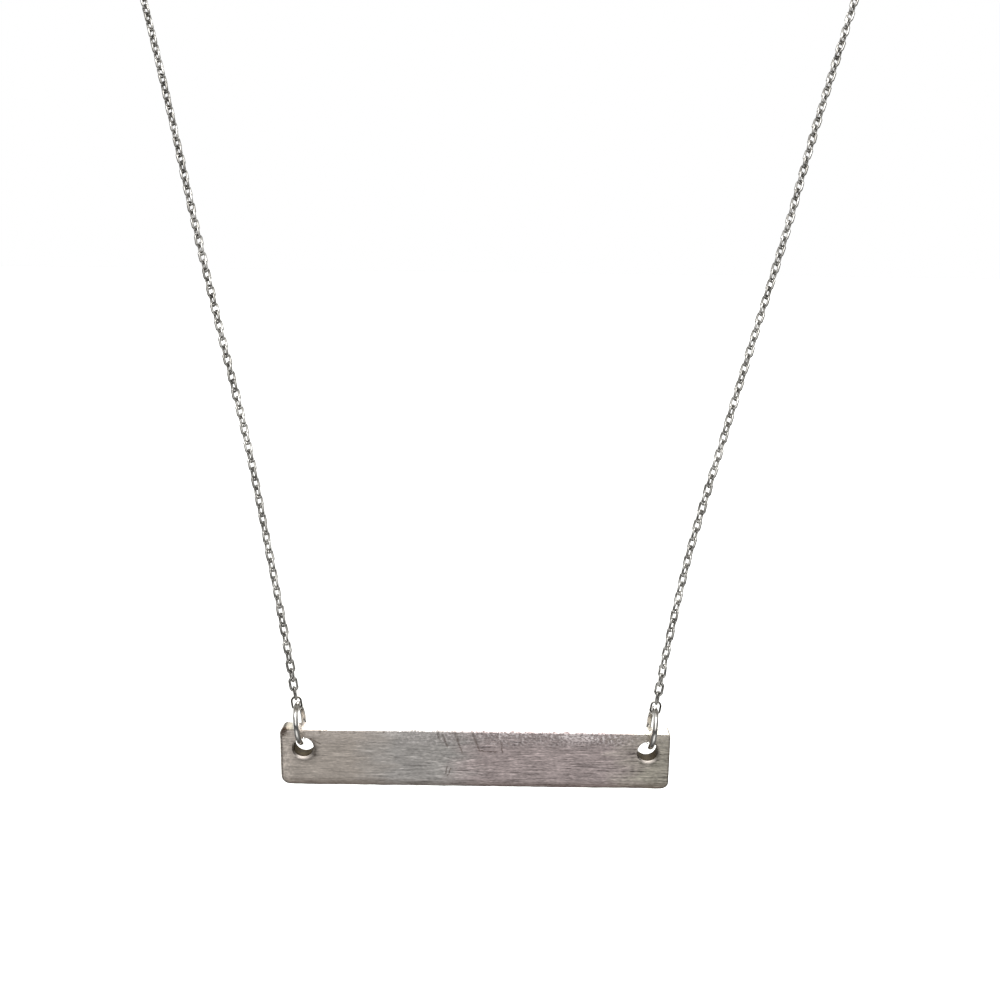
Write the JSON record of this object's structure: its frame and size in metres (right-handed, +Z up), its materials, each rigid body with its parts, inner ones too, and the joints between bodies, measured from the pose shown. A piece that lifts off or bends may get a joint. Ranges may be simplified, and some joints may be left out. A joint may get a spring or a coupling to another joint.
{
  "type": "bar pendant on a fine chain",
  "caption": "Flat brushed bar pendant, drilled near both ends and hung on jump rings from a fine link chain that closes with a ring clasp at the nape.",
  "frame": {"origin": "middle of the neck opening, level with the chain at the nape, where the necklace hangs", "axes": "+X to the viewer's right, -Y the front, where the bar faces, +Z up along the wearer's neck"},
  "size_m": [0.102, 0.1093, 0.1257],
  "materials": {
    "bar": "brushed sterling silver, lightly tarnished, with fine scratches along its length",
    "rings": "polished sterling silver wire",
    "chain": "satin sterling silver links, tarnished at their upper ends"
  },
  "bodies": {
    "necklace": {"chain_left": "chain", "chain_right": "chain", "end_link_left": "chain", "end_link_right": "chain", "back_link_left": "chain", "back_link_right": "chain", "catch_ring": "rings", "clasp": "rings"},
    "rings": {"ring_left": "rings", "ring_right": "rings"},
    "bar": {"bar": "bar"}
  },
  "joints": [
    {"name": "rings_swing", "type": "hinge", "parent": "necklace", "child": "rings", "pos_m": [-0.0014, -0.05915, -0.1154], "axis": [1, 0, 0], "range_deg": [-45, 35]},
    {"name": "bar_swing", "type": "hinge", "parent": "rings", "child": "bar", "pos_m": [-0.0014, -0.05915, -0.11679], "axis": [1, 0, 0], "range_deg": [-60, 60]}
  ]
}
